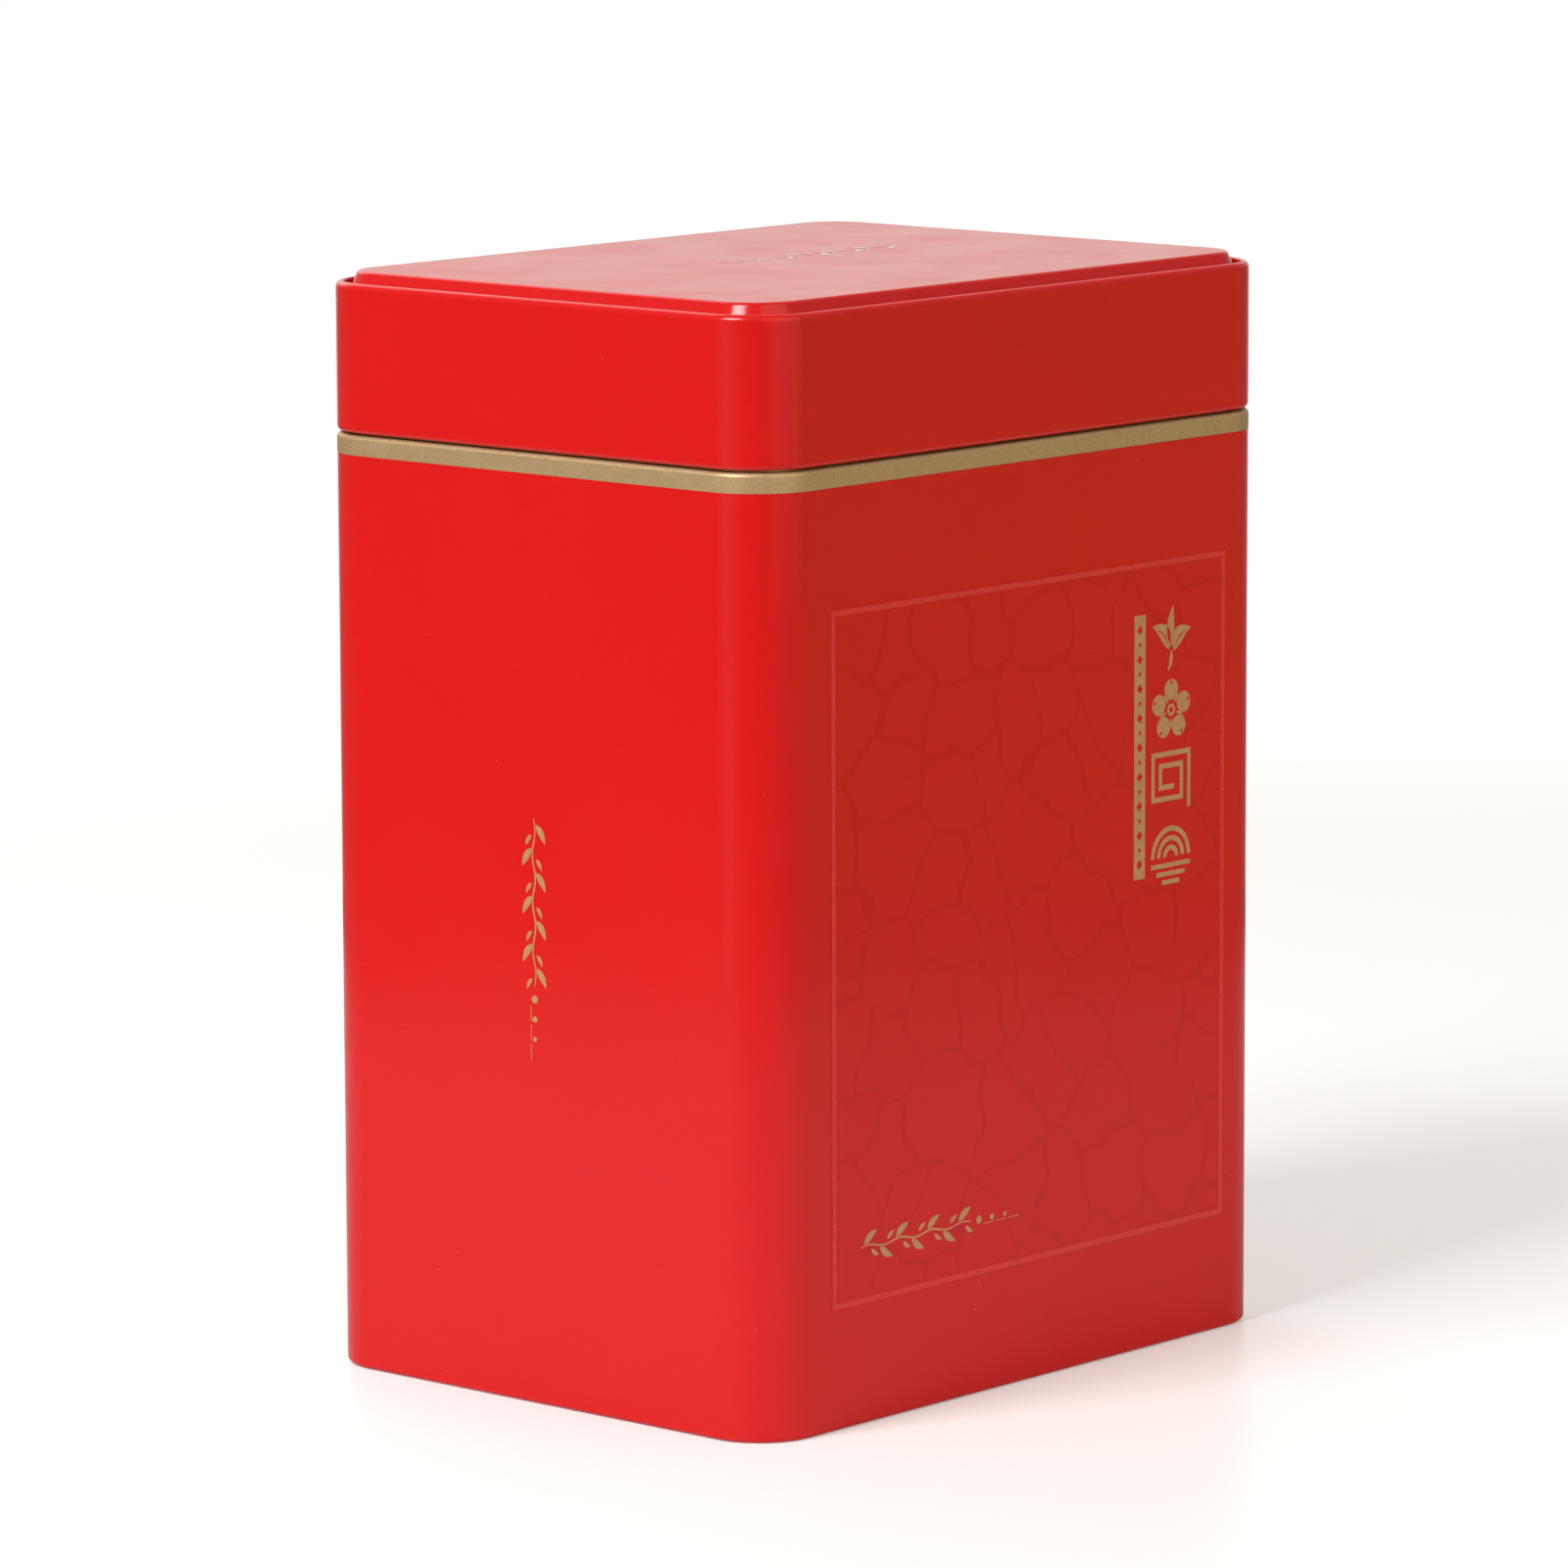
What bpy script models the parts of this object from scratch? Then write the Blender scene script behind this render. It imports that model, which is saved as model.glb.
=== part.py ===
"""Rectangular tinplate tea caddy with a slip-over lid and a press-in inner lid.

Every piece is thin sheet pressed or rolled round one rounded-rectangle plan, apart from the
turned knob and its rivet. Units are metres, +Z is up, and the origin is at the middle of the
plan on the surface that the tin stands on.
"""
import math

import bmesh
import bpy
from mathutils import Vector

# ---- driving dimensions ----
MM = 0.001
WIDTH = 142.4 * MM             # outside, along X
DEPTH = 108.8 * MM             # outside, along Y
HEIGHT = 200.0 * MM            # top of the lid's plateau
CORNER_RADIUS = 12.0 * MM      # outside vertical edges, in plan
PANEL_CORNER_RADIUS = 3.0 * MM # least plan radius, for beads far inside a panel
CORNER_STEPS = 5               # facets in each vertical edge
SHEET = 0.3 * MM               # tinplate thickness
GAP = 0.3 * MM                 # clearance between pieces that touch

# body wall
FOOT_RADIUS = 1.0 * MM
FOOT_LIP_INSET = 4.2 * MM      # how far the turned-in foot reaches under the base
BODY_TOP = 170.9 * MM
MOUTH_RADIUS = 0.8 * MM
MOUTH_LIP_INSET = 2.0 * MM

# base panel, by its upper skin
BASE_FLANGE_INSET = 0.75 * MM
BASE_FLANGE_TOP = 2 * SHEET + GAP
BASE_WALL_INSET = 4.9 * MM
BASE_FLOOR_TOP = 3.8 * MM
BASE_BEND = 0.6 * MM
BASE_BEAD_INSET = 15.0 * MM
BASE_BEAD_SLOPE = 2.0 * MM
BASE_BEAD_RISE = 0.8 * MM

# neck ring, by its outer skin
NECK_SEAT_INSET = SHEET + GAP
NECK_SEAT_BOTTOM = 158.0 * MM
NECK_JOGGLE_BOTTOM = 166.4 * MM
NECK_JOGGLE_TOP = 168.8 * MM
NECK_INSET = 2.4 * MM
NECK_TOP = 186.0 * MM
NECK_BEAD_RADIUS = 0.9 * MM
NECK_BEAD_END = -45            # degrees, where the rolled edge stops

# lid skirt, by its outer skin
LID_BOTTOM = BODY_TOP + GAP
HEM_RADIUS = 1.0 * MM
HEM_LEG = 3.0 * MM
RIM_TOP = 198.2 * MM
RIM_RADIUS = 1.2 * MM
RIM_FOLD_RADIUS = 0.4 * MM
RIM_LEG_BOTTOM = 195.6 * MM

# lid top panel, by its upper skin
LID_FLANGE_INSET = SHEET + GAP
LID_FLANGE_BOTTOM = 192.6 * MM
TRENCH_FLOOR = RIM_LEG_BOTTOM - GAP
TRENCH_BEND = 0.4 * MM
PLATEAU_INSET = 3.28 * MM      # where the plateau's side passes the rim's top
PLATEAU_RADIUS = 1.0 * MM
PLATEAU_TAPER = 23             # degrees from upright

# inner lid, by its upper skin
PAN_RIM_INSET = 2.5 * MM
PAN_ROLL_RADIUS = 0.4 * MM     # inside of the rolled rim
PAN_ROLL_START = 30            # degrees, where the rolled rim starts
PAN_FLANGE_TOP = NECK_TOP + GAP + SHEET
PAN_WALL_INSET = 4.8 * MM
PAN_SHOULDER_RADIUS = 0.6 * MM
PAN_FLOOR_TOP = 177.0 * MM
PAN_FLOOR_RADIUS = 1.2 * MM
PAN_BEAD_INSET = 13.0 * MM
PAN_BEAD_SLOPE = 2.0 * MM
PAN_BEAD_RISE = 0.9 * MM
PAN_PANEL_TOP = PAN_FLOOR_TOP + PAN_BEAD_RISE

# knob and rivet
TURN_STEPS = 24                # facets round a turned piece
KNOB_BOTTOM = PAN_PANEL_TOP + GAP
KNOB_HEIGHT = 10.0 * MM
KNOB_HEAD_RADIUS = 8.0 * MM
KNOB_HEAD_BEND = 1.6 * MM
KNOB_WAIST_RADIUS = 3.6 * MM
KNOB_WAIST_HEIGHT = 3.4 * MM
KNOB_FOOT_RADIUS = 5.6 * MM
KNOB_FOOT_HEIGHT = 1.2 * MM
RIVET_RADIUS = 2.0 * MM
RIVET_TOP = KNOB_BOTTOM + 5.5 * MM
RIVET_HEAD_RADIUS = 4.2 * MM
RIVET_HEAD_HEIGHT = 0.9 * MM
HOLE_RADIUS = RIVET_RADIUS + GAP
HOLE_CUTTER_HEIGHT = 6.0 * MM

MERGE_DISTANCE = 0.00001
SHARP_ANGLE = math.radians(35)


# ---- scene ----
def clear_scene():
    for obj in list(bpy.data.objects):
        bpy.data.objects.remove(obj, do_unlink=True)


def new_collection(name):
    collection = bpy.data.collections.new(name)
    bpy.context.scene.collection.children.link(collection)
    return collection


def new_material(name, color, roughness, metallic):
    material = bpy.data.materials.new(name)
    material.use_nodes = True
    shader = material.node_tree.nodes["Principled BSDF"]
    shader.inputs["Base Color"].default_value = (*color, 1.0)
    shader.inputs["Roughness"].default_value = roughness
    shader.inputs["Metallic"].default_value = metallic
    material.diffuse_color = (*color, 1.0)
    return material


def new_object(name, bm, collection, material):
    mesh = bpy.data.meshes.new(name)
    bm.to_mesh(mesh)
    bm.free()
    mesh.shade_smooth()
    mesh.set_sharp_from_angle(angle=SHARP_ANGLE)
    mesh.materials.append(material)
    obj = bpy.data.objects.new(name, mesh)
    collection.objects.link(obj)
    return obj


def moving_group(name, pieces, collection):
    """An empty on the lift axis, which carries the pieces that rise together."""
    empty = bpy.data.objects.new(name, None)
    collection.objects.link(empty)
    for piece in pieces:
        piece.parent = empty


# ---- sections: points of (inset from the outside face, height) ----
def bend(inset, height, radius, start, end, steps=3):
    """Points round a centre, with angles in degrees: 0 inward, 90 up, 180 outward, 270 down."""
    points = []
    for i in range(steps + 1):
        angle = math.radians(start + (end - start) * i / steps)
        points.append((inset + radius * math.cos(angle), height + radius * math.sin(angle)))
    return points


def joggle(inset, height, end_inset, end_height, steps=4):
    """Points of a smooth sideways step between two upright walls."""
    points = []
    for i in range(steps + 1):
        share = i / steps
        eased = (1 - math.cos(math.pi * share)) / 2
        points.append((inset + (end_inset - inset) * eased, height + (end_height - height) * share))
    return points


# ---- sheet metal ----
def plan_outline(inset, height):
    """The rounded-rectangle plan, offset inward by inset."""
    radius = max(CORNER_RADIUS - inset, PANEL_CORNER_RADIUS)
    centre_x = WIDTH / 2 - inset - radius
    centre_y = DEPTH / 2 - inset - radius
    points = []
    for quarter, (side_x, side_y) in enumerate(((1, 1), (-1, 1), (-1, -1), (1, -1))):
        for i in range(CORNER_STEPS + 1):
            angle = math.radians(90) * (quarter + i / CORNER_STEPS)
            x = side_x * centre_x + radius * math.cos(angle)
            y = side_y * centre_y + radius * math.sin(angle)
            points.append((x, y, height))
    return points


def first_ring(bm, place, points):
    """A closed ring of edges, whose vertices remember their place on the plan."""
    verts = [bm.verts.new(point) for point in points]
    for number, vert in enumerate(verts):
        vert[place] = number
    return [bm.edges.new((verts[i - 1], verts[i])) for i in range(len(verts))]


def extruded_ring(bm, place, ring, points):
    """Extrudes the ring and moves each new vertex to its place among the points."""
    geometry = bmesh.ops.extrude_edge_only(bm, edges=ring)["geom"]
    for item in geometry:
        if isinstance(item, bmesh.types.BMVert):
            item.co = points[item[place]]
    return [item for item in geometry
            if isinstance(item, bmesh.types.BMEdge) and item.is_boundary]


def face_skin_out(bm, section):
    """Turns all faces to the left of the section's path, as seen with inward to the right."""
    bmesh.ops.recalc_face_normals(bm, faces=bm.faces[:])
    bm.normal_update()
    (inset, height), (next_inset, next_height) = section[:2]
    skin = Vector((0, height - next_height, next_inset - inset))
    bm.faces.ensure_lookup_table()
    first_strip = bm.faces[:len(plan_outline(inset, height))]
    front = min(first_strip, key=lambda face: face.calc_center_median().y)
    if front.normal.dot(skin) < 0:
        bmesh.ops.reverse_faces(bm, faces=bm.faces[:])


def sheet_piece(name, section, collection, material, filled=False):
    """Sheet that follows the section all round the plan, with its thickness behind the skin.

    The skin is on the left of the section's path. A filled piece closes its last ring with a
    flat panel.
    """
    bm = bmesh.new()
    place = bm.verts.layers.int.new("place")
    ring = first_ring(bm, place, plan_outline(*section[0]))
    for inset, height in section[1:]:
        ring = extruded_ring(bm, place, ring, plan_outline(inset, height))
    if filled:
        bmesh.ops.edgeloop_fill(bm, edges=ring)
    face_skin_out(bm, section)
    obj = new_object(name, bm, collection, material)
    solidify = obj.modifiers.new("sheet_thickness", "SOLIDIFY")
    solidify.thickness = SHEET
    solidify.offset = -1.0
    solidify.use_even_offset = True
    return obj


def body_wall(collection):
    section = [(FOOT_LIP_INSET, 0.0)]
    section += bend(FOOT_RADIUS, FOOT_RADIUS, FOOT_RADIUS, 270, 180)
    section += bend(MOUTH_RADIUS, BODY_TOP - MOUTH_RADIUS, MOUTH_RADIUS, 180, 90)
    section += [(MOUTH_LIP_INSET, BODY_TOP)]
    material = new_material("body_print", (0.62, 0.012, 0.010), 0.28, 0.0)
    return sheet_piece("body_wall", section, collection, material)


def base_panel(collection):
    flange_bend = (BASE_WALL_INSET - BASE_BEND, BASE_FLANGE_TOP + BASE_BEND)
    floor_bend = (BASE_WALL_INSET + BASE_BEND, BASE_FLOOR_TOP - BASE_BEND)
    section = [(BASE_FLANGE_INSET, BASE_FLANGE_TOP)]
    section += bend(*flange_bend, BASE_BEND, 270, 360, steps=2)
    section += bend(*floor_bend, BASE_BEND, 180, 90, steps=2)
    section += [(BASE_BEAD_INSET, BASE_FLOOR_TOP)]
    section += [(BASE_BEAD_INSET + BASE_BEAD_SLOPE, BASE_FLOOR_TOP + BASE_BEAD_RISE)]
    material = new_material("base_tinplate", (0.60, 0.58, 0.55), 0.35, 1.0)
    return sheet_piece("base_panel", section, collection, material, filled=True)


def neck_ring(collection):
    bead_height = NECK_TOP - NECK_BEAD_RADIUS
    section = [(NECK_SEAT_INSET, NECK_SEAT_BOTTOM)]
    section += joggle(NECK_SEAT_INSET, NECK_JOGGLE_BOTTOM, NECK_INSET, NECK_JOGGLE_TOP)
    section += bend(NECK_INSET + NECK_BEAD_RADIUS, bead_height, NECK_BEAD_RADIUS,
                    180, NECK_BEAD_END, steps=5)
    material = new_material("neck_lacquer", (0.56, 0.42, 0.20), 0.33, 1.0)
    return sheet_piece("neck_ring", section, collection, material)


def lid_skirt(collection):
    section = [(2 * HEM_RADIUS, LID_BOTTOM + HEM_LEG)]
    section += bend(HEM_RADIUS, LID_BOTTOM + HEM_RADIUS, HEM_RADIUS, 0, -180, steps=6)
    section += bend(RIM_RADIUS, RIM_TOP - RIM_RADIUS, RIM_RADIUS, 180, 90)
    section += bend(RIM_RADIUS, RIM_TOP - RIM_FOLD_RADIUS, RIM_FOLD_RADIUS, 90, 0, steps=2)[1:]
    section += [(RIM_RADIUS + RIM_FOLD_RADIUS, RIM_LEG_BOTTOM)]
    material = new_material("lid_print", (0.62, 0.012, 0.010), 0.28, 0.0)
    return sheet_piece("lid_skirt", section, collection, material)


def tapered_side(height, reach):
    """The centre, at a height, of a bend that meets the plateau's leaning side at a reach."""
    lean = math.radians(PLATEAU_TAPER)
    rise = height + reach * math.sin(lean) - RIM_TOP
    return PLATEAU_INSET + rise * math.tan(lean) + reach * math.cos(lean), height


def lid_top_panel(collection):
    flange_bend = (LID_FLANGE_INSET + TRENCH_BEND, TRENCH_FLOOR - TRENCH_BEND)
    trench_bend = tapered_side(TRENCH_FLOOR + TRENCH_BEND, -TRENCH_BEND)
    edge_bend = tapered_side(HEIGHT - PLATEAU_RADIUS, PLATEAU_RADIUS)
    section = [(LID_FLANGE_INSET, LID_FLANGE_BOTTOM)]
    section += bend(*flange_bend, TRENCH_BEND, 180, 90, steps=2)
    section += bend(*trench_bend, TRENCH_BEND, 270, 360 - PLATEAU_TAPER, steps=2)
    section += bend(*edge_bend, PLATEAU_RADIUS, 180 - PLATEAU_TAPER, 90)
    material = new_material("lid_top_print", (0.62, 0.014, 0.012), 0.25, 0.0)
    return sheet_piece("lid_top_panel", section, collection, material, filled=True)


def rivet_hole_cutter(collection):
    bpy.ops.mesh.primitive_cylinder_add(vertices=TURN_STEPS, radius=HOLE_RADIUS,
                                        depth=HOLE_CUTTER_HEIGHT, location=(0, 0, PAN_PANEL_TOP))
    cutter = bpy.context.object
    cutter.name = "rivet_hole_cutter"
    cutter.hide_render = True
    cutter.display_type = "WIRE"
    for owner in list(cutter.users_collection):
        owner.objects.unlink(cutter)
    collection.objects.link(cutter)
    return cutter


def inner_lid_pan(collection, cutters):
    roll_radius = PAN_ROLL_RADIUS + SHEET
    roll_centre = (PAN_RIM_INSET + roll_radius, PAN_FLANGE_TOP + PAN_ROLL_RADIUS)
    shoulder = (PAN_WALL_INSET - PAN_SHOULDER_RADIUS, PAN_FLANGE_TOP - PAN_SHOULDER_RADIUS)
    floor_bend = (PAN_WALL_INSET + PAN_FLOOR_RADIUS, PAN_FLOOR_TOP + PAN_FLOOR_RADIUS)
    section = bend(*roll_centre, PAN_ROLL_RADIUS, PAN_ROLL_START, 270, steps=4)
    section += bend(*shoulder, PAN_SHOULDER_RADIUS, 90, 0, steps=2)
    section += bend(*floor_bend, PAN_FLOOR_RADIUS, 180, 270, steps=3)
    section += [(PAN_BEAD_INSET, PAN_FLOOR_TOP)]
    section += [(PAN_BEAD_INSET + PAN_BEAD_SLOPE, PAN_PANEL_TOP)]
    material = new_material("pan_lacquer", (0.58, 0.44, 0.22), 0.30, 1.0)
    pan = sheet_piece("inner_lid_pan", section, collection, material, filled=True)
    hole = pan.modifiers.new("rivet_hole", "BOOLEAN")
    hole.operation = "DIFFERENCE"
    hole.solver = "EXACT"
    hole.object = rivet_hole_cutter(cutters)
    return pan


# ---- turned pieces: profiles of (radius, height), top to bottom down the outer side ----
def turned_piece(name, profile, collection, material):
    bm = bmesh.new()
    verts = [bm.verts.new((radius, 0, height)) for radius, height in profile]
    for upper, lower in zip(verts, verts[1:]):
        bm.edges.new((upper, lower))
    obj = new_object(name, bm, collection, material)
    screw = obj.modifiers.new("turn", "SCREW")
    screw.steps = TURN_STEPS
    screw.render_steps = TURN_STEPS
    screw.use_merge_vertices = True
    screw.merge_threshold = MERGE_DISTANCE
    screw.use_normal_calculate = True
    return obj


def inner_lid_knob(collection):
    top = KNOB_BOTTOM + KNOB_HEIGHT
    head_edge = (KNOB_HEAD_RADIUS - KNOB_HEAD_BEND, top - KNOB_HEAD_BEND)
    profile = [(0.0, top)]
    profile += bend(*head_edge, KNOB_HEAD_BEND, 90, -90, steps=6)
    profile += [(KNOB_WAIST_RADIUS, KNOB_BOTTOM + KNOB_WAIST_HEIGHT + KNOB_FOOT_HEIGHT)]
    profile += [(KNOB_WAIST_RADIUS, KNOB_BOTTOM + KNOB_WAIST_HEIGHT)]
    profile += [(KNOB_FOOT_RADIUS, KNOB_BOTTOM + KNOB_FOOT_HEIGHT)]
    profile += [(KNOB_FOOT_RADIUS, KNOB_BOTTOM)]
    profile += [(HOLE_RADIUS, KNOB_BOTTOM)]
    profile += [(HOLE_RADIUS, RIVET_TOP + GAP)]
    profile += [(0.0, RIVET_TOP + GAP)]
    material = new_material("knob_gold", (0.66, 0.48, 0.22), 0.22, 1.0)
    return turned_piece("inner_lid_knob", profile, collection, material)


def knob_rivet(collection):
    head_top = PAN_PANEL_TOP - SHEET - GAP
    profile = [(0.0, RIVET_TOP)]
    profile += [(RIVET_RADIUS, RIVET_TOP)]
    profile += [(RIVET_RADIUS, head_top)]
    profile += [(RIVET_HEAD_RADIUS, head_top)]
    profile += [(RIVET_HEAD_RADIUS, head_top - RIVET_HEAD_HEIGHT / 2)]
    profile += [(RIVET_HEAD_RADIUS - RIVET_HEAD_HEIGHT, head_top - RIVET_HEAD_HEIGHT)]
    profile += [(0.0, head_top - RIVET_HEAD_HEIGHT)]
    material = new_material("rivet_steel", (0.62, 0.61, 0.60), 0.30, 1.0)
    return turned_piece("knob_rivet", profile, collection, material)


def build_tin():
    clear_scene()
    tin = new_collection("tea_caddy")
    cutters = new_collection("cutters")
    body_wall(tin)
    base_panel(tin)
    neck_ring(tin)
    moving_group("lid_lift_axis", [lid_skirt(tin), lid_top_panel(tin)], tin)
    inner_pieces = [inner_lid_pan(tin, cutters), inner_lid_knob(tin), knob_rivet(tin)]
    moving_group("inner_lid_lift_axis", inner_pieces, tin)


build_tin()
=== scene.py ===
"""Looks of a rectangular tea caddy: printed skins, gold ink, lacquered inside and a turned knob.

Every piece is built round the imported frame, in metres, +Z up. The printed skins lie a hair
inside the frame's outer faces, which leaves room for the ink films on them.
"""
import math

import bmesh
import bpy
from mathutils import Matrix, Vector


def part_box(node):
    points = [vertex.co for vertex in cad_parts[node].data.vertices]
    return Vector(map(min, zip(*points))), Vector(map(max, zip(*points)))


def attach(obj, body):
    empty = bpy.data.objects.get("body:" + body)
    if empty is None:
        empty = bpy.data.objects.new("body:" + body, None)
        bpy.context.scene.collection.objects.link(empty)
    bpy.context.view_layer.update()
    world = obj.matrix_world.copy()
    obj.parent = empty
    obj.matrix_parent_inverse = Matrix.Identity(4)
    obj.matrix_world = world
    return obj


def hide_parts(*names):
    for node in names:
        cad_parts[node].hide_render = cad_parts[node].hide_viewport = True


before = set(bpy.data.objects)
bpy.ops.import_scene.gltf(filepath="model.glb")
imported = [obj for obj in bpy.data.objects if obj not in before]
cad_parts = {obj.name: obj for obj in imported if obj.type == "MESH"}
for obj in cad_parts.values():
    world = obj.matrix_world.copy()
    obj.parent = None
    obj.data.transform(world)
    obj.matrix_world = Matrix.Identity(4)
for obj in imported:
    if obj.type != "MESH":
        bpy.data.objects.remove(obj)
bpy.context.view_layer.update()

MM = 0.001

# ---- sizes from the frame ----
BODY_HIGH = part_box("body_wall")[1]
HALF_WIDTH = BODY_HIGH.x
HALF_DEPTH = BODY_HIGH.y
BODY_TOP = BODY_HIGH.z
BASE_LOW, BASE_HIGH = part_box("base_panel")
NECK_LOW, NECK_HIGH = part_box("neck_ring")
LID_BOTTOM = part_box("lid_skirt")[0].z
RIM_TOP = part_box("lid_skirt")[1].z
LID_FLANGE_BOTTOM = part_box("lid_top_panel")[0].z
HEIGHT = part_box("lid_top_panel")[1].z
KNOB_LOW, KNOB_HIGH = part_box("inner_lid_knob")
RIVET_LOW, RIVET_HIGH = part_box("knob_rivet")

# ---- sheet metal, as in the part ----
CORNER_RADIUS = 12.0 * MM
PANEL_CORNER_RADIUS = 3.0 * MM
SHEET = 0.3 * MM
GAP = 0.3 * MM
FOOT_RADIUS = 1.0 * MM
FOOT_LIP_INSET = 4.2 * MM
MOUTH_RADIUS = 0.8 * MM
MOUTH_LIP_INSET = 2.0 * MM
BASE_FLANGE_INSET = HALF_WIDTH - BASE_HIGH.x
BASE_FLANGE_TOP = BASE_LOW.z
BASE_WALL_INSET = 4.9 * MM
BASE_FLOOR_TOP = 3.8 * MM
BASE_BEND = 0.6 * MM
BASE_BEAD_INSET = 15.0 * MM
BASE_BEAD_SLOPE = 2.0 * MM
NECK_SEAT_INSET = HALF_WIDTH - NECK_HIGH.x
NECK_SEAT_BOTTOM = NECK_LOW.z
NECK_TOP = NECK_HIGH.z
NECK_JOGGLE_BOTTOM = 166.4 * MM
NECK_JOGGLE_TOP = 168.8 * MM
NECK_INSET = 2.4 * MM
NECK_BEAD_RADIUS = 0.9 * MM
NECK_BEAD_END = -45
HEM_RADIUS = 1.0 * MM
HEM_LEG = 3.0 * MM
RIM_RADIUS = 1.2 * MM
RIM_FOLD_RADIUS = 0.4 * MM
RIM_LEG_BOTTOM = 195.6 * MM
LID_FLANGE_INSET = 0.6 * MM
TRENCH_FLOOR = RIM_LEG_BOTTOM - GAP
TRENCH_BEND = 0.4 * MM
PLATEAU_INSET = 3.28 * MM      # where the plateau's side passes the rim's top
PLATEAU_RADIUS = 1.0 * MM
PLATEAU_TAPER = 23             # degrees from upright
PAN_RIM_INSET = 2.5 * MM
PAN_ROLL_RADIUS = 0.4 * MM
PAN_ROLL_START = 30
PAN_FLANGE_TOP = NECK_TOP + GAP + SHEET
PAN_WALL_INSET = 4.8 * MM
PAN_SHOULDER_RADIUS = 0.6 * MM
PAN_FLOOR_TOP = 177.0 * MM
PAN_FLOOR_RADIUS = 1.2 * MM
PAN_BEAD_INSET = 13.0 * MM
PAN_BEAD_SLOPE = 2.0 * MM
PAN_PANEL_TOP = KNOB_LOW.z - GAP
RIVET_HOLE_RADIUS = 2.3 * MM
RIVET_SHANK_RADIUS = 2.0 * MM
RIVET_CHAMFER = 0.2 * MM
RIVET_HEAD_EDGE = 0.2 * MM
KNOB_CROWN = 0.15 * MM
KNOB_EDGE_RADIUS = 1.6 * MM
KNOB_WAIST_RADIUS = 3.6 * MM
KNOB_WAIST_RISE = 4.6 * MM
KNOB_WAIST_REACH = 1.0 * MM     # of the waist's centre inside the head's edge
KNOB_FOOT_RADIUS = 5.6 * MM
KNOB_FOOT_RISE = 1.2 * MM
KNOB_FOOT_EDGE = 0.3 * MM

# ---- mesh fineness and ink ----
CORNER_STEPS = 20
TURN_STEPS = 96
SETBACK = 0.05 * MM            # printed skins behind the frame's faces
INK_LIFT = 0.01 * MM           # ink films behind the frame's faces
INK_FILM = 0.03 * MM
GOLD_BAND_BOTTOM = 167.35 * MM
SHARP_ANGLE = math.radians(40)

# ---- litho layout, in mm from the middle of a wall ----
PANEL_MIDDLE = (1.6, 83.85)
PANEL_SIZE = (110.0, 123.9)
FRAME_LINE = 1.0
TOP_MOTIF = (41.0, 131.2)
MOTIF_PITCH = 13.2
BAR_MIDDLE = (31.9, 112.0)
PANEL_VINE_MIDDLE = (-23.4, 31.9)
SIDE_VINE_HEIGHT = 83.5
LID_VINE_MIDDLE = (8.1, 5.0)
LID_VINE_SCALE = 1.1


# ---- node graphs ----
def add_node(tree, kind, settings=None, inputs=None):
    """A node with its settings, whose inputs are set or, from a socket, linked."""
    made = tree.nodes.new(kind)
    for key, value in (settings or {}).items():
        setattr(made, key, value)
    for key, value in (inputs or {}).items():
        if isinstance(value, bpy.types.NodeSocket):
            tree.links.new(value, made.inputs[key])
        else:
            made.inputs[key].default_value = value
    return made


def new_material(name, metallic=0.0, specular=0.5, coat=0.0, coat_roughness=0.1):
    """A Principled material with its constants, and the pieces that a pattern needs."""
    material = bpy.data.materials.new(name)
    material.use_nodes = True
    tree = material.node_tree
    shader = tree.nodes["Principled BSDF"]
    shader.inputs["Metallic"].default_value = metallic
    shader.inputs["Specular IOR Level"].default_value = specular
    shader.inputs["Coat Weight"].default_value = coat
    shader.inputs["Coat Roughness"].default_value = coat_roughness
    place = add_node(tree, "ShaderNodeTexCoord").outputs["Object"]
    return material, tree, shader, place


def noise_at(tree, place, per_metre, detail=2.0, stretch=(1, 1, 1)):
    """Noise from 0 to 1, with per_metre features a metre, scaled again along each axis."""
    scaled = add_node(tree, "ShaderNodeMapping", None, {"Vector": place, "Scale": stretch})
    texture = add_node(tree, "ShaderNodeTexNoise", None,
                       {"Vector": scaled.outputs[0], "Scale": per_metre, "Detail": detail})
    return texture.outputs["Fac"]


def remap(tree, value, low, high, to_low, to_high, smooth=False):
    """The value taken from the range low to high onto the range to_low to to_high."""
    interpolation = "SMOOTHSTEP" if smooth else "LINEAR"
    ranged = add_node(tree, "ShaderNodeMapRange", {"interpolation_type": interpolation},
                      {"Value": value, "From Min": low, "From Max": high,
                       "To Min": to_low, "To Max": to_high})
    return ranged.outputs["Result"]


def maths(tree, operation, a, b=0.0):
    """The result of a Math node on one or two sockets or numbers."""
    return add_node(tree, "ShaderNodeMath", {"operation": operation}, {0: a, 1: b}).outputs[0]


def mix_colour(tree, share, a, b):
    """Blend of two colours, each a socket or a linear RGB triple."""
    sides = {key: value if isinstance(value, bpy.types.NodeSocket) else (*value, 1.0)
             for key, value in ((6, a), (7, b))}
    return add_node(tree, "ShaderNodeMix", {"data_type": "RGBA"}, {0: share, **sides}).outputs[2]


def bump(tree, shader, height, depth):
    """Relief whose height runs from 0 to depth metres."""
    relief = add_node(tree, "ShaderNodeBump", None,
                      {"Height": height, "Strength": 1.0, "Distance": depth})
    tree.links.new(relief.outputs["Normal"], shader.inputs["Normal"])


def dust_specks(tree, place, per_metre, radius):
    """1 inside sparse round specks, each radius metres, and 0 elsewhere."""
    cells = add_node(tree, "ShaderNodeTexVoronoi", None, {"Vector": place, "Scale": per_metre})
    reach = radius * per_metre
    return remap(tree, cells.outputs["Distance"], reach * 0.6, reach, 1.0, 0.0, smooth=True)


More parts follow.
